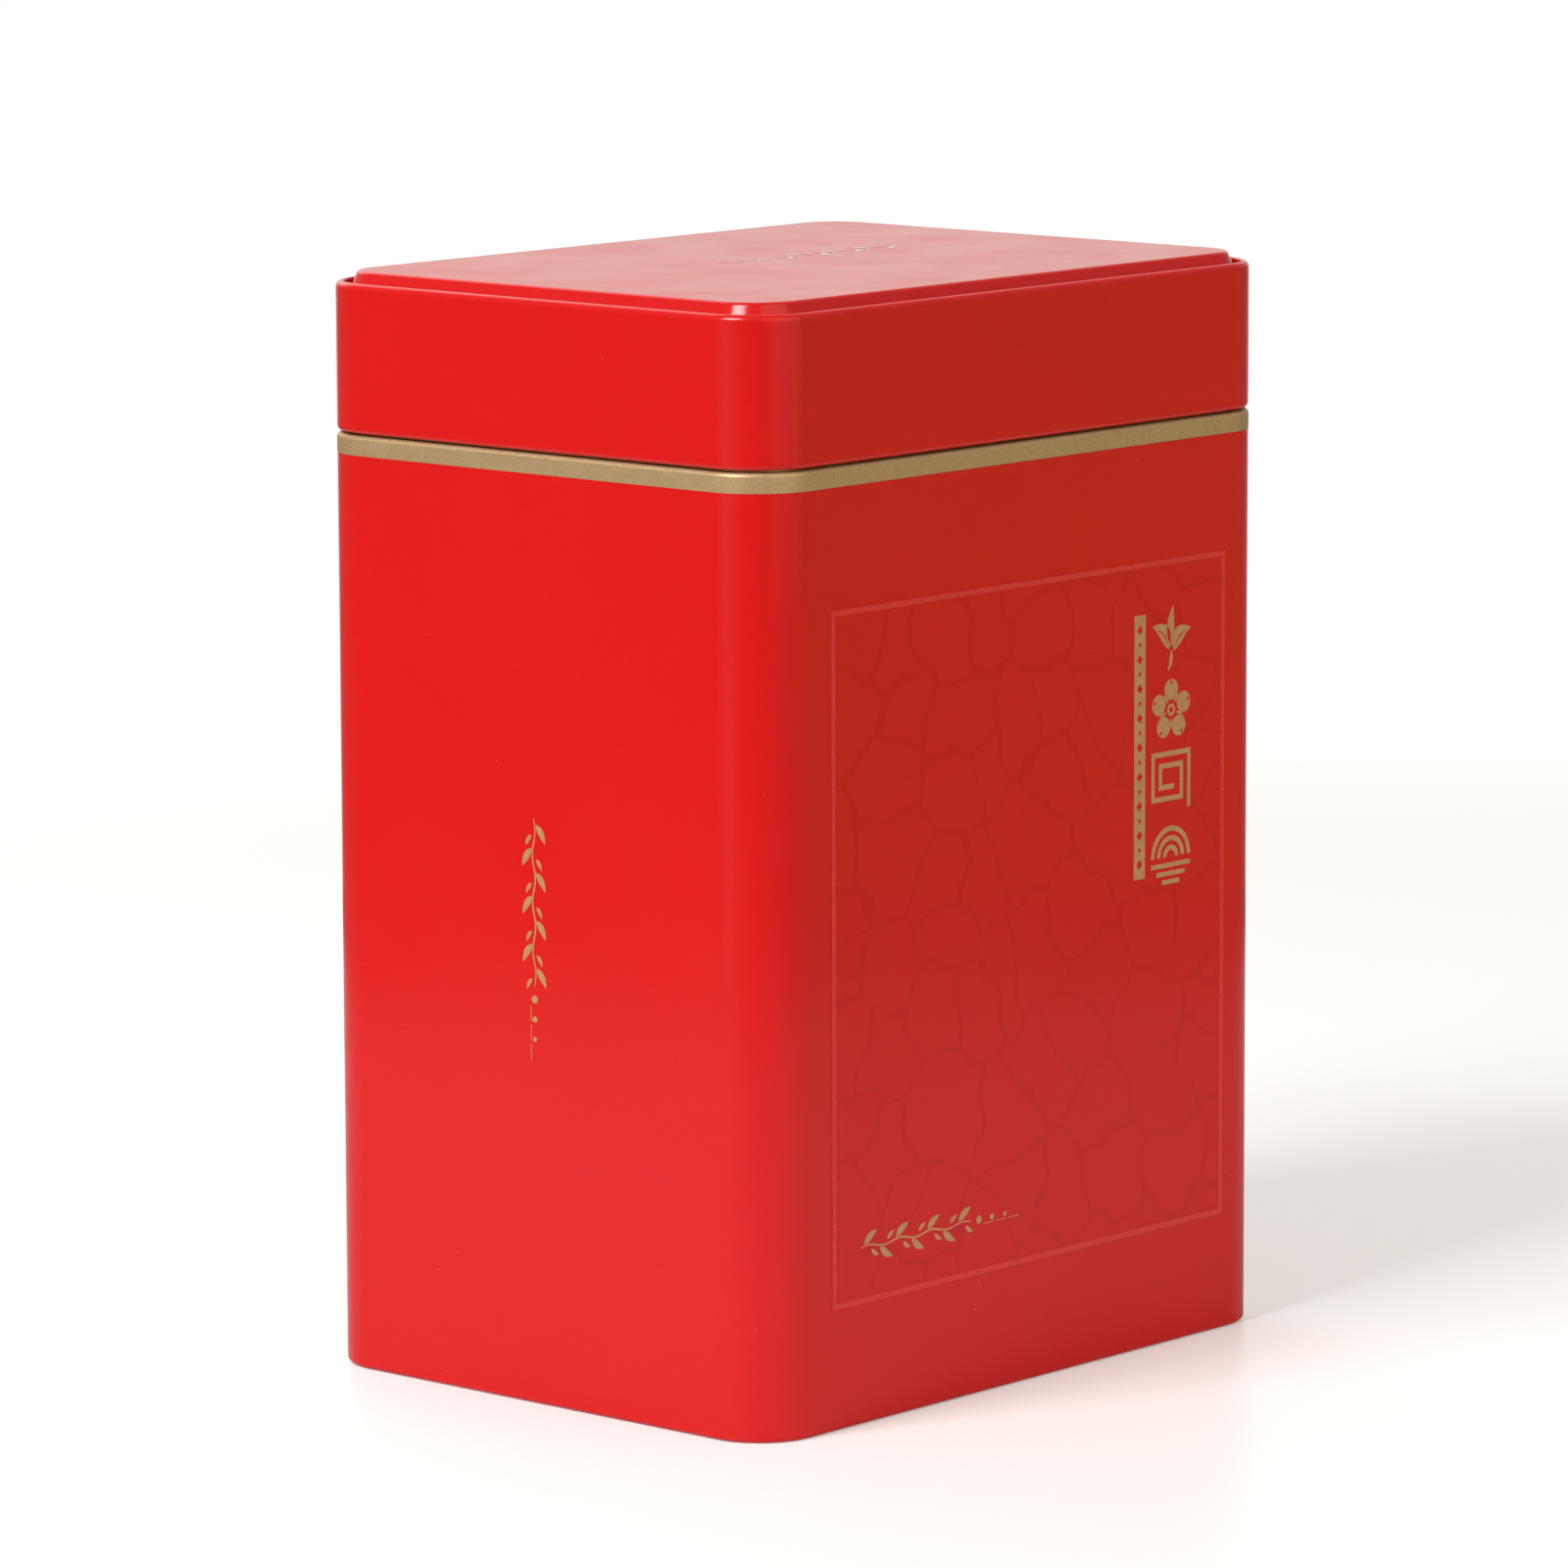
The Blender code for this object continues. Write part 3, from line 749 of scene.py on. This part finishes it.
def arch(radius, width, foot, steps=36):
    """A half ring of constant width, standing on the line at height foot."""
    angles = [math.pi * i / steps for i in range(steps + 1)]
    outer = [round_point((0, foot), radius, angle) for angle in angles]
    inner = [round_point((0, foot), radius - width, angle) for angle in angles]
    return outer + inner[::-1]


def wave_motif():
    """Nested arches, as a rising wave, over three bars of still water."""
    arches = [arch(radius, 0.95, -0.7) for radius in (5.7, 3.95, 2.2)]
    bars = [rectangle((0, -2.2 - 1.55 * i), (11.4 - 3.2 * i, 0.85)) for i in range(3)]
    return arches + bars


def fret_motif(reach=5.2, pitch=2.15, corners=9):
    """A square key that winds in from one corner."""
    sides = ((1, -1), (1, 1), (-1, 1), (-1, -1))
    path = []
    for i in range(corners):
        side_x, side_y = sides[i % 4]
        far = reach - pitch * (i // 4)
        low = far - pitch if i % 4 == 3 else far
        path.append((side_x * far, side_y * low))
    return [square_line(path, 0.95)]


def square_line(path, width):
    """A line of constant width with mitred square corners."""
    path = [Vector(point) for point in path]
    left, right = [], []
    for i, point in enumerate(path):
        before = (point - path[i - 1]).normalized() if i else None
        after = (path[i + 1] - point).normalized() if i < len(path) - 1 else None
        before, after = before or after, after or before
        side = Vector((-before.y, before.x)) + Vector((-after.y, after.x))
        side = side / max(side.length_squared / 2, 1e-6)
        left.append(point + side * width / 2)
        right.append(point - side * width / 2)
    return left + right[::-1]


def vine(pairs=7, pitch=4.3):
    """A trailing stem with leaves above and below it, and three berries at its end."""
    run = pairs * pitch
    start = -(run + 15.0) / 2
    stem = []
    for i in range(41):
        share = i / 40
        stem.append((start + run * share, 0.35 * math.sin(math.pi * pairs * share)))
    shapes = [stroke(stem, 0.34, 0.5)]
    for i in range(pairs):
        side = 1 if i % 2 == 0 else -1
        x = start + pitch * (i + 0.25)
        shapes.append(leaf((x, side * 0.55), (x + 3.4, side * 2.75), 1.35, side * 0.25))
        shapes.append(leaf((x + 1.9, -side * 0.6), (x + 3.9, -side * 1.9), 0.8, -side * 0.15))
    end = start + run
    for i, radius in enumerate((0.72, 0.56, 0.42)):
        shapes.append(dot((end + 2.4 + 3.6 * i, 0.0), radius))
        shapes.append(stroke([(end + 3.6 + 3.5 * i, -0.9), (end + 6.4 + 3.5 * i, -0.9)], 0.28, 0.5))
    return shapes


def pierced_bar(height=48.5, width=3.2, count=17):
    """A solid bar with a row of small lozenges and dots left open in it."""
    shapes = [rectangle((0, 0), (width, height))]
    pitch = height / (count + 1)
    for i in range(count):
        y = height / 2 - pitch * (i + 1)
        shapes.append(lozenge((0, y), 1.7, 1.9) if i % 2 == 0 else dot((0, y), 0.42, 12))
    return shapes


# ---- ink pieces ----
def wall_frame(middle, outward, across, up):
    """Maps (across, up, outward) in mm onto a face whose film starts just inside the frame."""
    turn = Matrix((Vector(across), Vector(up), Vector(outward))).transposed().to_4x4()
    lifted = Vector(middle) - Vector(outward) * (INK_LIFT + INK_FILM / 2)
    return Matrix.Translation(lifted) @ turn @ Matrix.Scale(MM, 4)


def ink_piece(name, outlines, place, material, lift=0.0, thickness=INK_FILM):
    """A thin film in the shape of the outlines, where an outline inside another is a hole."""
    curve = bpy.data.curves.new(name, "CURVE")
    curve.dimensions = "2D"
    curve.fill_mode = "BOTH"
    curve.extrude = thickness / MM / 2
    for outline in outlines:
        spline = curve.splines.new("POLY")
        spline.points.add(len(outline) - 1)
        for point, corner in zip(spline.points, outline):
            point.co = (corner[0], corner[1], 0, 1)
        spline.use_cyclic_u = True
    source = bpy.data.objects.new(name, curve)
    bpy.context.scene.collection.objects.link(source)
    mesh = bpy.data.meshes.new_from_object(
        source.evaluated_get(bpy.context.evaluated_depsgraph_get()))
    bpy.data.objects.remove(source, do_unlink=True)
    bpy.data.curves.remove(curve)
    bm = bmesh.new()
    bm.from_mesh(mesh)
    bpy.data.meshes.remove(mesh)
    bmesh.ops.remove_doubles(bm, verts=bm.verts[:], dist=0.001)
    bmesh.ops.recalc_face_normals(bm, faces=bm.faces[:])
    bmesh.ops.transform(bm, matrix=place @ Matrix.Translation((0, 0, lift / MM)), verts=bm.verts[:])
    obj = new_object(name, bm, [material])
    obj.data.set_sharp_from_angle(angle=SHARP_ANGLE)
    return obj


def litho(gold, lid_gold):
    """The printed films of the four walls and of the lid."""
    crackled = crackle_print("crackle_litho")
    pale_line = line_print("frame_line_litho")
    for side, sign in (("front", -1), ("back", 1)):
        face = wall_frame((0, sign * HALF_DEPTH, 0), (0, sign, 0), (-sign, 0, 0), (0, 0, 1))
        printed_panel(side, face, gold, crackled, pale_line)
    for side, sign in (("left", -1), ("right", 1)):
        face = wall_frame((sign * HALF_WIDTH, 0, SIDE_VINE_HEIGHT * MM), (sign, 0, 0),
                          (0, 0, -1), (0, sign, 0))
        finish(ink_piece("vine_" + side, vine(), face, gold), "body", "body_print")
    across, along = LID_VINE_MIDDLE
    face = wall_frame((across * MM, along * MM, HEIGHT), (0, 0, 1), (-1, 0, 0), (0, -1, 0))
    large = face @ Matrix.Scale(LID_VINE_SCALE, 4)
    finish(ink_piece("vine_lid", vine(), large, lid_gold), "lid", "lid_top_print")


def printed_panel(side, face, gold, crackled, pale_line):
    """Framed crackle panel with a column of four motifs, a pierced bar and a vine."""
    width, height = PANEL_SIZE
    ground = [rectangle(PANEL_MIDDLE, (width - FRAME_LINE, height - FRAME_LINE))]
    line = [rectangle(PANEL_MIDDLE, (width, height)),
            rectangle(PANEL_MIDDLE, (width - 2 * FRAME_LINE, height - 2 * FRAME_LINE))]
    column = []
    for i, motif in enumerate((bud_motif(), blossom_motif(), fret_motif(), wave_motif())):
        middle = (TOP_MOTIF[0], TOP_MOTIF[1] - MOTIF_PITCH * i)
        column += [moved(shape, middle) for shape in motif]
    bar = [moved(shape, BAR_MIDDLE) for shape in pierced_bar()]
    trail = [moved(shape, PANEL_VINE_MIDDLE) for shape in vine()]
    half_film = 0.5 * INK_FILM
    under, over = -0.5 * half_film, 0.5 * half_film
    for name, shapes, ink, lift in (("crackle_", ground, crackled, under),
                                    ("frame_line_", line, pale_line, over),
                                    ("motif_column_", column, gold, over),
                                    ("pierced_bar_", bar, gold, over),
                                    ("vine_", trail, gold, over)):
        film = ink_piece(name + side, shapes, face, ink, lift, half_film)
        finish(film, "body", "body_print")


# ---- stage ----
FLOOR_RADIUS = 0.52            # of the lit part: past it the room is dim
SWEEP_RADIUS = 1.1             # of the white floor that the camera sees
# share of a camera-only glow on the floor near the tin: painted sheen that lightens the tin's shadow
FLOOR_PAINTED_SHEEN = 0.20
FLOOR_DIMMING = 0.42           # of its picture in the tin's varnish
AIM = Vector((0, 0, 0.1))
CAMERA_AZIMUTH = -48.663
CAMERA_ELEVATION = 8.890
CAMERA_ROLL = -0.1875
CAMERA_DISTANCE = 1.50876
CAMERA_SHIFT = (-2.72 * MM, 3.67 * MM)     # to the right of the aim, and above it
CAMERA_LENS = 189.05
WHITE = (1.0, 1.0, 1.0)
WARM = (1.0, 0.98, 0.82)
ROOM_BELOW = (0.20, 0.19, 0.16)
ROOM_ABOVE = (0.35, 0.34, 0.32)


def towards(azimuth, elevation):
    """Unit direction, with azimuth 0 at -Y and 90 at +X, in degrees."""
    a, e = math.radians(azimuth), math.radians(elevation)
    return Vector((math.sin(a) * math.cos(e), -math.cos(a) * math.cos(e), math.sin(e)))


def floor():
    """A satin white disc that turns into the white backdrop for the camera, with a camera-only glow
    near the tin: a painted sheen that lightens the tin's shadow on it.

    Its picture in the tin's varnish is dimmed, and past its lit part only the camera sees it.
    """
    bm = bmesh.new()
    bmesh.ops.create_circle(bm, cap_ends=True, segments=160, radius=SWEEP_RADIUS)
    bmesh.ops.translate(bm, verts=bm.verts[:], vec=(0, 0, -0.02 * MM))
    material, tree, shader, place = new_material("pale_floor", specular=0.35)
    shader.inputs["Roughness"].default_value = 0.32
    path = add_node(tree, "ShaderNodeLightPath").outputs
    white = mix_colour(tree, path["Is Camera Ray"], (0.95, 0.95, 0.95), (1.06, 1.06, 1.06))
    tree.links.new(white, shader.inputs["Base Color"])
    # a glow that only the camera sees: painted sheen on the floor, growing to plain white towards the
    # sweep's edge
    painted_sheen = add_node(tree, "ShaderNodeEmission", None,
                     {"Color": (1.2, 1.2, 1.2, 1.0), "Strength": path["Is Camera Ray"]})
    radius = add_node(tree, "ShaderNodeVectorMath", {"operation": "LENGTH"}, {0: place})
    rim = remap(tree, radius.outputs["Value"], 0.75 * FLOOR_RADIUS, FLOOR_RADIUS, 0.0, 1.0,
                smooth=True)
    lit = maths(tree, "MAXIMUM", rim, maths(tree, "MULTIPLY", path["Is Glossy Ray"], FLOOR_DIMMING))
    far = remap(tree, radius.outputs["Value"], FLOOR_RADIUS, SWEEP_RADIUS, FLOOR_PAINTED_SHEEN, 1.0,
                smooth=True)
    share = remap(tree, path["Is Camera Ray"], 0.0, 1.0, lit, far)
    blend = add_node(tree, "ShaderNodeMixShader", None,
                     {0: share, 1: shader.outputs[0], 2: painted_sheen.outputs[0]})
    past = maths(tree, "GREATER_THAN", radius.outputs["Value"], FLOOR_RADIUS)
    gone = maths(tree, "MULTIPLY", past, maths(tree, "SUBTRACT", 1.0, path["Is Camera Ray"]))
    clear = add_node(tree, "ShaderNodeBsdfTransparent")
    shown = add_node(tree, "ShaderNodeMixShader", None,
                     {0: gone, 1: blend.outputs[0], 2: clear.outputs[0]})
    tree.links.new(shown.outputs[0], tree.nodes["Material Output"].inputs["Surface"])
    new_object("floor", bm, [material])


def softbox(name, azimuth, elevation, distance, size, power, colour):
    """A square light that faces the tin, with its angles in degrees and its power in watts."""
    light = bpy.data.lights.new(name, "AREA")
    light.shape = "SQUARE"
    light.size = size
    light.energy = power
    light.color = colour
    obj = bpy.data.objects.new(name, light)
    direction = towards(azimuth, elevation)
    obj.location = AIM + direction * distance
    obj.rotation_euler = direction.to_track_quat("Z", "Y").to_euler()
    bpy.context.scene.collection.objects.link(obj)


def card(tree, view, under, azimuth, elevation, inner, outer, colour):
    """Adds a soft-edged round card of light to the surround, with its radii in degrees."""
    facing = add_node(tree, "ShaderNodeVectorMath", {"operation": "DOT_PRODUCT"},
                      {0: view, 1: towards(azimuth, elevation)}).outputs["Value"]
    share = remap(tree, facing, math.cos(math.radians(outer)), math.cos(math.radians(inner)),
                  0.0, 1.0, smooth=True)
    return mix_colour(tree, share, under, colour)


def backdrop():
    """A white surround to look at, which lights the tin as a dim room with three cards."""
    world = bpy.data.worlds.new("studio")
    bpy.context.scene.world = world
    world.use_nodes = True
    tree = world.node_tree
    view = add_node(tree, "ShaderNodeTexCoord").outputs["Generated"]
    up = add_node(tree, "ShaderNodeSeparateXYZ", None, {0: view}).outputs[2]
    room = mix_colour(tree, remap(tree, up, -0.02, 0.04, 0.0, 1.0), ROOM_BELOW, ROOM_ABOVE)
    room = card(tree, view, room, azimuth=41, elevation=-12, inner=20, outer=32,
                colour=(0.42, 0.36, 0.14))
    room = card(tree, view, room, azimuth=-98, elevation=6, inner=14, outer=24,
                colour=(0.50, 0.50, 0.52))
    room = card(tree, view, room, azimuth=131, elevation=12, inner=24, outer=36,
                colour=(0.86, 0.82, 0.77))
    lit = tree.nodes["Background"]
    tree.links.new(room, lit.inputs["Color"])
    shown = add_node(tree, "ShaderNodeBackground", None, {"Color": (1, 1, 1, 1), "Strength": 1.0})
    path = add_node(tree, "ShaderNodeLightPath")
    mixed = add_node(tree, "ShaderNodeMixShader", None,
                     {0: path.outputs["Is Camera Ray"], 1: lit.outputs[0], 2: shown.outputs[0]})
    tree.links.new(mixed.outputs[0], tree.nodes["World Output"].inputs["Surface"])


def camera():
    """The photograph's view: a long lens a metre and a half away, a little above the tin."""
    back = towards(CAMERA_AZIMUTH, CAMERA_ELEVATION)
    level = towards(CAMERA_AZIMUTH + 90, 0)
    turn = Matrix.Rotation(math.radians(CAMERA_ROLL), 3, back)
    right = turn @ level
    up = turn @ back.cross(level)
    data = bpy.data.cameras.new("view")
    data.sensor_width = 36.0
    data.lens = CAMERA_LENS
    data.clip_end = 50.0
    obj = bpy.data.objects.new("view", data)
    place = Matrix((right, up, back)).transposed().to_4x4()
    across, above = CAMERA_SHIFT
    place.translation = AIM + back * CAMERA_DISTANCE + right * across + up * above
    obj.matrix_world = place
    bpy.context.scene.collection.objects.link(obj)
    bpy.context.scene.camera = obj


def studio():
    """A key light over the left wall, with dim fills in front and behind."""
    floor()
    backdrop()
    softbox("key", azimuth=-94, elevation=41, distance=1.6, size=0.64, power=22.8, colour=WHITE)
    softbox("back_fill", azimuth=165, elevation=35, distance=1.9, size=1.2, power=6.0, colour=WHITE)
    softbox("front_fill", azimuth=0, elevation=26, distance=2.2, size=2.4, power=16.5, colour=WARM)
    camera()
    bpy.context.scene.view_settings.view_transform = "Standard"


main_pieces()
studio()
